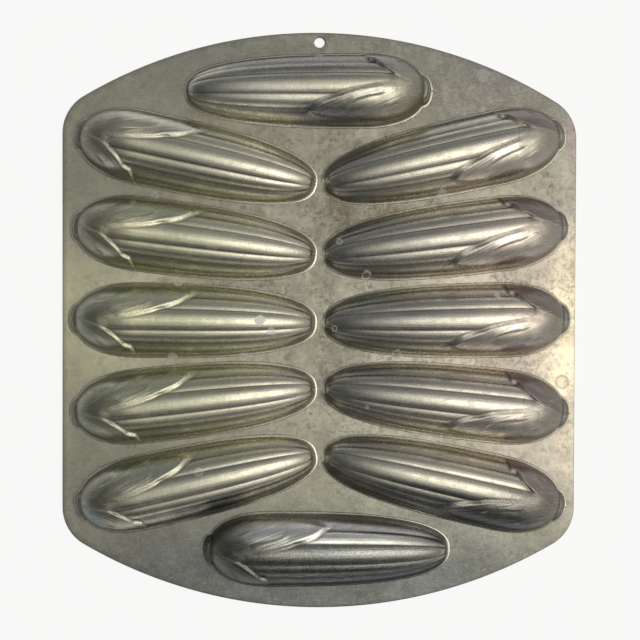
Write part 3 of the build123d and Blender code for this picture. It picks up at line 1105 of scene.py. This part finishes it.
# Dried drops: centre and radius in mm, 1 for a ring or 0 for a spot, strength
drops = (
    (-35.6, -0.6, 3.0, 0, 0.8), (-29.1, -7.1, 2.4, 0, 0.45), (73.9, 75.6, 2.8, 0, 0.6),
    (28.1, 26.6, 2.6, 1, 0.5), (46.3, -20.6, 2.4, 1, 0.5), (-46.3, -22.4, 2.0, 1, 0.6),
    (-99.5, 75.6, 2.0, 1, 0.5), (-85.6, 23.6, 2.4, 1, 0.5), (-88.6, -22.4, 3.0, 0, 0.35),
    (11.8, 46.4, 1.6, 1, 0.6), (8.8, -5.2, 1.5, 1, 0.6), (105.0, 14.0, 2.0, 0, 0.5),
    (98.9, 148.0, 4.0, 0, 0.35), (118.0, 139.0, 2.6, 1, 0.4), (20.0, -62.0, 2.0, 1, 0.5),
)


def patchMask(tree, vector, centre, size, softness, ragged=0.3):
    return useGroup(tree, "patch", {
        "Vector": vector, "Centre": (centre[0] * mm, centre[1] * mm, 0.0),
        "Size": (size[0] * mm, size[1] * mm, 1.0), "Softness": softness, "Raggedness": ragged})["Mask"]


# Lays on tints and patches of painted light and shade, one after another
def tintedAndPaintedBase(tree, vector, base, names):
    colour = base
    for name in names:
        centre, size, soft, ragged, tint, strength = tintsAndPaintedLight[name]
        mask = patchMask(tree, vector, centre, size, soft, ragged)
        colour = tinted(tree, colour, mask, strength, tint)
    return colour


# Scattered water marks and the placed drops together
def waterMask(tree, vector, scale, share, size):
    water = useGroup(tree, "water", {"Vector": vector, "Scale": scale, "Share": share, "Size": size})
    spots = times(tree, water["Spot"], texture["spotStrength"])
    mask = mathOf(tree, "MAXIMUM", spots, times(tree, water["Ring"], texture["ringStrength"]))
    at = wobbled(tree, vector, *texture["dropWobble"], middle=0.5)
    for x, y, radius, hollow, strength in drops:
        drop = useGroup(tree, "drop", {
            "Vector": at, "Centre": (x * mm, y * mm, 0.0), "Radius": radius * mm,
            "Hollow": hollow})["Mask"]
        mask = mathOf(tree, "MAXIMUM", mask, times(tree, drop, strength))
    return mask


# Lay the look's shades on, each by its mask: (mask, name of its share, name of its shade)
def layered(tree, look, colour, layers):
    for mask, share, shade in layers:
        colour = tinted(tree, colour, mask, look[share + "Share"], look[shade])
    return colour


def newMaterial(name):
    material = bpy.data.materials.new(name)
    material.use_nodes = True
    tree = material.node_tree
    shader = tree.nodes["Principled BSDF"]
    vector = tree.nodes.new("ShaderNodeTexCoord").outputs["Object"]
    return material, tree, shader, vector


def markOf(tree, name):
    return addNode(tree, "ShaderNodeAttribute", attribute_name=name).outputs["Fac"]


# Bare casting of the ears
earLook = {
    "olive": (0.50, 0.485, 0.40),
    "tarnish": (0.28, 0.255, 0.205),
    # dirt with painted shade, for grooves and creases, and dirt in the cracks
    "dirtAndPaintedShade": (0.085, 0.078, 0.066),
    # painted shade on walls facing the foot of the pan
    "wallPaintedShade": (0.06, 0.066, 0.07),
    # scouring, and the painted highlight on the foot fillet
    "scouredAndHighlight": (0.80, 0.765, 0.68),
    "chalk": (0.78, 0.79, 0.76),
    # plum tint, darkened with painted shade
    "plumAndPaintedShade": (0.21, 0.15, 0.16),
    # painted reflection of the golden deck
    "bronzeReflection": (0.52, 0.40, 0.26),
    # painted shade on the stalk's end
    "stemPaintedShade": (0.16, 0.155, 0.125),
    "tarnishShare": 0.45,         # how strongly each is laid on
    "bandShare": 0.3,
    "sparkleShare": 0.22,
    "plumAndPaintedShadeShare": 0.85,
    "bronzeReflectionShare": 0.7,
    "wallPaintedShadeShare": 0.85,
    "stemShare": 0.78,
    "scouredAndHighlightShare": 0.75,
    "grooveShare": 0.45,
    "creaseShare": 0.5,
    "crackShare": 0.6,
    "scratchShare": 0.25,
    "speckShare": 0.12,
    "patina": {"Cloud Scale": 30.0, "Blotch Scale": 170.0},
    "water": (70.0, 0.03, 0.18),  # cells to a metre, share of them with a mark, size in the cell
    "roughness": 0.215,
    "rimRoughness": 0.17,
    "blotchRough": 0.10,          # added to the roughness where each lies
    "lineRough": 0.06,
    "grooveRough": 0.2,
    "stemRough": 0.15,
    "chalkRough": 0.4,
    "bump": 0.24,
    "bumpHeight": 0.0003,
    "lineHeight": 0.3,            # against the height of the cast grain
    "veinHeight": 0.8,
    "crackHeight": -0.8,
    "crestHighlight": (46.0, 14.0),        # degrees from the crest line over which its painted highlights fade in
    "lowWall": (-50.0, -72.0),
    "stemEnd": (110.0, 142.0),    # mm from the tip
    "creaseWidth": (3.5, 0.5),
    "rightSide": ((140, 10), (85, 150), 0.3),
    "wallPaintedShadeSide": ((50, -150), (200, 85), 0.5),
    "wallPaintedShadeFacing": (-0.2, -0.6),   # how far a wall has to face the foot of the pan to get painted shade
    "crackStart": (113.0, 119.0),
    "crackEnd": (134.0, 126.0),
    "crackSide": (32.0, 15.0),
}


def earMaterial():
    material, tree, shader, vector = newMaterial("earCasting")
    look = earLook
    along, angle = markOf(tree, "along"), markOf(tree, "rowAngle")
    leaf = minus(tree, 1.0, markOf(tree, "bare"))
    shortLeaf, groove, bright = markOf(tree, "shortLeaf"), markOf(tree, "groove"), markOf(tree, "bright")
    # Base tints, with painted shade over the tips
    colour = tintedAndPaintedBase(tree, vector, (*look["olive"], 1.0), (
        "greenEars", "warmEars", "rightTipsPaintedShade", "tipsPaintedShade", "greyFoot"))
    # Painted highlights along the crests
    crestHighlight = tintedAndPaintedBase(tree, vector, colour, ("goldCrestHighlight", "beigeHuskHighlight"))
    size = mathOf(tree, "ABSOLUTE", angle)
    onCrest = rangeOf(tree, size, *look["crestHighlight"])
    colour = mixColour(tree, onCrest, colour, crestHighlight)
    # Painted shade, painted highlights and painted teal reflections on single ears
    colour = tintedAndPaintedBase(tree, vector, colour, (
        "bottomLeftPaintedShade", "bottomEarLowPaintedShade", "topEarPaintedShade", "topEarHighlight", "topLeafPaintedShade", "lowRightLeafPaintedShade", "lowRightWallPaintedShade", "bottomEarHighlight",
        "tealReflectionOne", "tealReflectionTwo", "tealReflectionThree", "tealReflectionFour"))
    patina = useGroup(tree, "patina", {"Vector": vector, **look["patina"]})
    fibre = useGroup(tree, "fibre", {
        "Vector": vector, "Along": along, "Angle": angle, "Leaf": leaf, "Short Leaf": shortLeaf})
    tarnish = times(tree, patina["Cloud"], patina["Blotch"])
    sparkle = times(tree, patina["Fine"], plus(tree, fibre["Line"], 0.5))
    colour = layered(tree, look, colour, (
        (tarnish, "tarnish", "tarnish"), (fibre["Band"], "band", "tarnish"),
        (sparkle, "sparkle", "scouredAndHighlight")))

    # Right hand ears: plum short leaves darkened with painted shade, and a painted bronze reflection on the
    # walls below the husk
    rightSide = patchMask(tree, vector, *look["rightSide"])
    plumAndPaintedShade = times(tree, rightSide, shortLeaf)
    lowWall = rangeOf(tree, angle, *look["lowWall"])
    bronzeReflection = times(tree, times(tree, rightSide, lowWall), fibre["Band"])
    colour = layered(tree, look, colour, ((plumAndPaintedShade, "plumAndPaintedShade", "plumAndPaintedShade"), (bronzeReflection, "bronzeReflection", "bronzeReflection")))

    # The stalk's end is rougher and in painted shade, walls facing the foot of the pan get painted shade,
    # the foot fillet a painted highlight, raised edges scouring with a painted highlight, and grooves and
    # creases dirt with painted shade
    normal = addNode(tree, "ShaderNodeSeparateXYZ", {
        0: tree.nodes.new("ShaderNodeNewGeometry").outputs["Normal"]}).outputs[1]
    # Painted shade on walls that face the foot of the pan, in its lower part
    wallPaintedShadeMask = patchMask(tree, vector, *look["wallPaintedShadeSide"])
    wallPaintedShadeMask = times(tree, wallPaintedShadeMask, rangeOf(tree, normal, *look["wallPaintedShadeFacing"]))
    stemEnd = rangeOf(tree, along, *look["stemEnd"])
    bright = times(tree, bright, minus(tree, 1.0, wallPaintedShadeMask))
    # Row creases darkened with dirt and painted shade
    creases = []
    for place in (rows["innerCrease"], rows["outerCrease"]):
        away = mathOf(tree, "ABSOLUTE", minus(tree, size, place))
        creases.append(rangeOf(tree, away, *look["creaseWidth"]))
    crease = times(tree, mathOf(tree, "MAXIMUM", *creases), markOf(tree, "bare"))
    crack = useGroup(tree, "crack", {"Vector": vector})["Crack"]
    for mark, limits in ((along, look["crackStart"]), (along, look["crackEnd"]), (size, look["crackSide"])):
        crack = times(tree, crack, rangeOf(tree, mark, *limits))
    colour = layered(tree, look, colour, (
        (wallPaintedShadeMask, "wallPaintedShade", "wallPaintedShade"), (stemEnd, "stem", "stemPaintedShade"), (bright, "scouredAndHighlight", "scouredAndHighlight"),
        (groove, "groove", "dirtAndPaintedShade"), (crease, "crease", "dirtAndPaintedShade"), (crack, "crack", "dirtAndPaintedShade")))

    dust = times(tree, patina["Speck"], look["speckShare"])
    chalk = mathOf(tree, "MAXIMUM", waterMask(tree, vector, *look["water"]), dust)
    colour = mixColour(tree, chalk, colour, (*look["chalk"], 1.0))
    grain = useGroup(tree, "grain", {"Vector": vector})
    colour = layered(tree, look, colour, ((grain["Scratch"], "scratch", "scouredAndHighlight"),))
    roughness = summed(tree, look["roughness"], (
        (patina["Blotch"], look["blotchRough"]), (fibre["Line"], look["lineRough"]),
        (groove, look["grooveRough"]), (stemEnd, look["stemRough"]),
        (bright, look["rimRoughness"] - look["roughness"]), (chalk, look["chalkRough"])))
    feed(tree, shader.inputs["Base Color"], colour)
    feed(tree, shader.inputs["Metallic"], minus(tree, 1.0, chalk, True))
    feed(tree, shader.inputs["Roughness"], roughness)
    height = summed(tree, grain["Height"], (
        (fibre["Line"], look["lineHeight"]), (times(tree, fibre["Band"], leaf), look["veinHeight"]),
        (crack, look["crackHeight"])))
    bump = addNode(tree, "ShaderNodeBump", {
        "Height": height, "Strength": look["bump"], "Distance": look["bumpHeight"]})
    feed(tree, shader.inputs["Normal"], bump.outputs[0])
    return material


deckLook = {
    "olive": (0.315, 0.31, 0.252),
    "tarnish": (0.20, 0.182, 0.142),
    "dark": (0.10, 0.088, 0.066),
    "scouredAndHighlight": (0.56, 0.54, 0.465),
    "chalk": (0.66, 0.66, 0.625),
    "rust": (0.30, 0.145, 0.06),
    "tarnishShare": 0.35,
    "scouredAndHighlightShare": 0.3,
    "darkShare": 0.8,
    "sparkleShare": 0.16,
    "rustShare": 0.8,
    "scratchShare": 0.25,
    "speckShare": 0.3,
    "patina": {"Cloud Scale": 26.0, "Blotch Scale": 110.0},
    "mottle": {"Cloud Scale": 75.0, "Blotch Scale": 360.0, "Speck Scale": 620.0, "Speck Share": 0.5},
    "leastMottle": 0.3,
    "water": (55.0, 0.10, 0.2),
    "roughness": 0.45,
    "cloudRough": 0.10,
    "blotchRough": 0.06,
    "chalkRough": 0.4,
    "bump": 0.3,
    "bumpHeight": 0.0003,
    "mottledPart": ((30, 30), (190, 170), 0.7),
    "rustyEdge": ((150, -5), (20, 125), 0.6),
}


def deckMaterial():
    material, tree, shader, vector = newMaterial("deckCasting")
    look = deckLook
    # Deck tints, with a painted warm highlight along the right edge
    colour = tintedAndPaintedBase(tree, vector, (*look["olive"], 1.0), (
        "greenLeft", "warmRight", "greyHead", "greyFoot", "dimCorner", "creamMiddle", "brownMiddle",
        "goldEdgeHighlight", "plumEdge"))
    patina = useGroup(tree, "patina", {"Vector": vector, **look["patina"]})
    mottle = useGroup(tree, "patina", {"Vector": vector, **look["mottle"]})
    mottled = patchMask(tree, vector, *look["mottledPart"])
    mottled = plus(tree, look["leastMottle"], times(tree, mottled, 1 - look["leastMottle"]))
    cloudy = times(tree, patina["Cloud"], mottled)
    blotchy = times(tree, patina["Blotch"], mottled)
    stipple = times(tree, times(tree, mottle["Cloud"], mottle["Blotch"]), mottled)
    rusty = times(tree, patchMask(tree, vector, *look["rustyEdge"]), mottle["Speck"])
    colour = layered(tree, look, colour, (
        (cloudy, "tarnish", "tarnish"), (blotchy, "scouredAndHighlight", "scouredAndHighlight"), (stipple, "dark", "dark"),
        (patina["Fine"], "sparkle", "scouredAndHighlight"), (rusty, "rust", "rust")))

    dust = times(tree, patina["Speck"], look["speckShare"])
    chalk = mathOf(tree, "MAXIMUM", waterMask(tree, vector, *look["water"]), dust)
    colour = mixColour(tree, chalk, colour, (*look["chalk"], 1.0))
    grain = useGroup(tree, "grain", {"Vector": vector})
    colour = layered(tree, look, colour, ((grain["Scratch"], "scratch", "scouredAndHighlight"),))
    roughness = summed(tree, look["roughness"], (
        (patina["Cloud"], look["cloudRough"]), (mottle["Blotch"], look["blotchRough"]),
        (chalk, look["chalkRough"])))
    feed(tree, shader.inputs["Base Color"], colour)
    feed(tree, shader.inputs["Metallic"], minus(tree, 1.0, chalk, True))
    feed(tree, shader.inputs["Roughness"], roughness)
    bump = addNode(tree, "ShaderNodeBump", {
        "Height": grain["Height"], "Strength": look["bump"], "Distance": look["bumpHeight"]})
    feed(tree, shader.inputs["Normal"], bump.outputs[0])
    return material


makeEars(earMaterial())
makeDeck(deckMaterial())

# Floor: white to the camera and in reflections, and it keeps the pan's shadow
stage = {"half": 6.0, "albedo": 0.9, "glow": 0.85}
half = stage["half"]
floorCorners = [(-half, -half, 0), (half, -half, 0), (half, half, 0), (-half, half, 0)]
floorMesh = meshFrom("floor", floorCorners, [(0, 1, 2, 3)])
floor = bpy.data.objects.new("floor", floorMesh)
bpy.context.scene.collection.objects.link(floor)
floorMaterial, floorTree, floorShader, _ = newMaterial("paleFloor")
floorShader.inputs["Base Color"].default_value = (stage["albedo"], stage["albedo"], stage["albedo"], 1)
floorShader.inputs["Roughness"].default_value = 1
rays = floorTree.nodes.new("ShaderNodeLightPath").outputs
seen = mathOf(floorTree, "MAXIMUM", rays["Is Camera Ray"], rays["Is Glossy Ray"])
seen = mathOf(floorTree, "MAXIMUM", seen, rays["Is Transmission Ray"])
glow = addNode(floorTree, "ShaderNodeEmission", {"Color": (1, 1, 1, 1), "Strength": 1.0})
blend = addNode(floorTree, "ShaderNodeMixShader", {
    0: times(floorTree, seen, stage["glow"]), 1: floorShader.outputs[0], 2: glow.outputs[0]})
floorOutput = floorTree.nodes["Material Output"]
floorTree.links.new(blend.outputs[0], floorOutput.inputs["Surface"])
floorMesh.materials.append(floorMaterial)

# Light: a dim room, brighter overhead to the right of the camera, where a large soft lamp hangs
light = {
    "room": (0.095, 0.1, 0.106),
    "overhead": (1.0, 0.97, 0.88),
    "overheadStrength": 1.75,
    "overheadTilt": (20, -3),     # degrees from straight up, towards the right and the top
    "overheadPower": 8.0,
    "right": (1.0, 0.93, 0.85),
    "rightStrength": 0.5,
    "top": (0.9, 0.95, 1.0),
    "topStrength": 0.18,
    "horizon": (0.97, 0.98, 1.0),
    "horizonStrength": 0.6,
    "horizonFade": (0.33, 0.03),  # sine of the height at which the pale band starts, and is full
    "lampDistance": 2.0,
    "lampSize": 1.3,
    "lampEnergy": 7.5,
}
world = bpy.data.worlds.new("studio")
bpy.context.scene.world = world
world.use_nodes = True
sky = world.node_tree
facing = sky.nodes.new("ShaderNodeTexCoord").outputs["Generated"]
tiltX, tiltY = (math.radians(turn) for turn in light["overheadTilt"])
overhead = Vector((math.sin(tiltX), math.sin(tiltY), math.cos(tiltX) * math.cos(tiltY))).normalized()
dot = vectorOf(sky, "DOT_PRODUCT", facing, overhead, "Value")
lobe = mathOf(sky, "POWER", mathOf(sky, "MAXIMUM", dot, 0.0), light["overheadPower"])
axes = addNode(sky, "ShaderNodeSeparateXYZ", {0: facing}).outputs
skyColour = (*light["room"], 1.0)
for amount, strength, tint in (
    (lobe, light["overheadStrength"], light["overhead"]),
    (mathOf(sky, "MAXIMUM", axes[0], 0.0), light["rightStrength"], light["right"]),
    (mathOf(sky, "MAXIMUM", axes[1], 0.0), light["topStrength"], light["top"]),
    (rangeOf(sky, axes[2], *light["horizonFade"]), light["horizonStrength"], light["horizon"]),
):
    part = mixColour(sky, times(sky, amount, strength), (0, 0, 0, 1), (*tint, 1.0))
    skyColour = mixColour(sky, 1.0, skyColour, part, "ADD")
feed(sky, sky.nodes["Background"].inputs["Color"], skyColour)
lampData = bpy.data.lights.new("softLamp", "AREA")
lampData.shape = "DISK"
lampData.size = light["lampSize"]
lampData.energy = light["lampEnergy"]
lampData.color = light["overhead"]
lamp = bpy.data.objects.new("softLamp", lampData)
lamp.location = overhead * light["lampDistance"]
lamp.rotation_euler = (-lamp.location).to_track_quat("-Z", "Y").to_euler()
bpy.context.scene.collection.objects.link(lamp)

# Camera: square on, with a little shift, as the photograph was taken
camera = {
    "pixels": 640,
    "pixel": 0.605,               # mm of deck to a pixel
    "distance": 590.0,
    "shiftX": 0.06,
    "shiftY": 0.05,
    "centreX": 0.3,               # what lies in the middle of the picture (mm)
    "centreY": 0.0,
}
span = camera["pixels"] * camera["pixel"]
cameraData = bpy.data.cameras.new("camera")
cameraData.sensor_width = 36
cameraData.lens = cameraData.sensor_width * camera["distance"] / span
cameraData.shift_x = camera["shiftX"]
cameraData.shift_y = camera["shiftY"]
cameraData.clip_start = 0.01
cameraObject = bpy.data.objects.new("camera", cameraData)
cameraObject.location = (
    (camera["centreX"] - camera["shiftX"] * span) * mm,
    (camera["centreY"] - camera["shiftY"] * span) * mm,
    (deckTop + camera["distance"]) * mm,
)
bpy.context.scene.collection.objects.link(cameraObject)
bpy.context.scene.camera = cameraObject
bpy.context.scene.view_settings.view_transform = "Standard"
print("stage set")
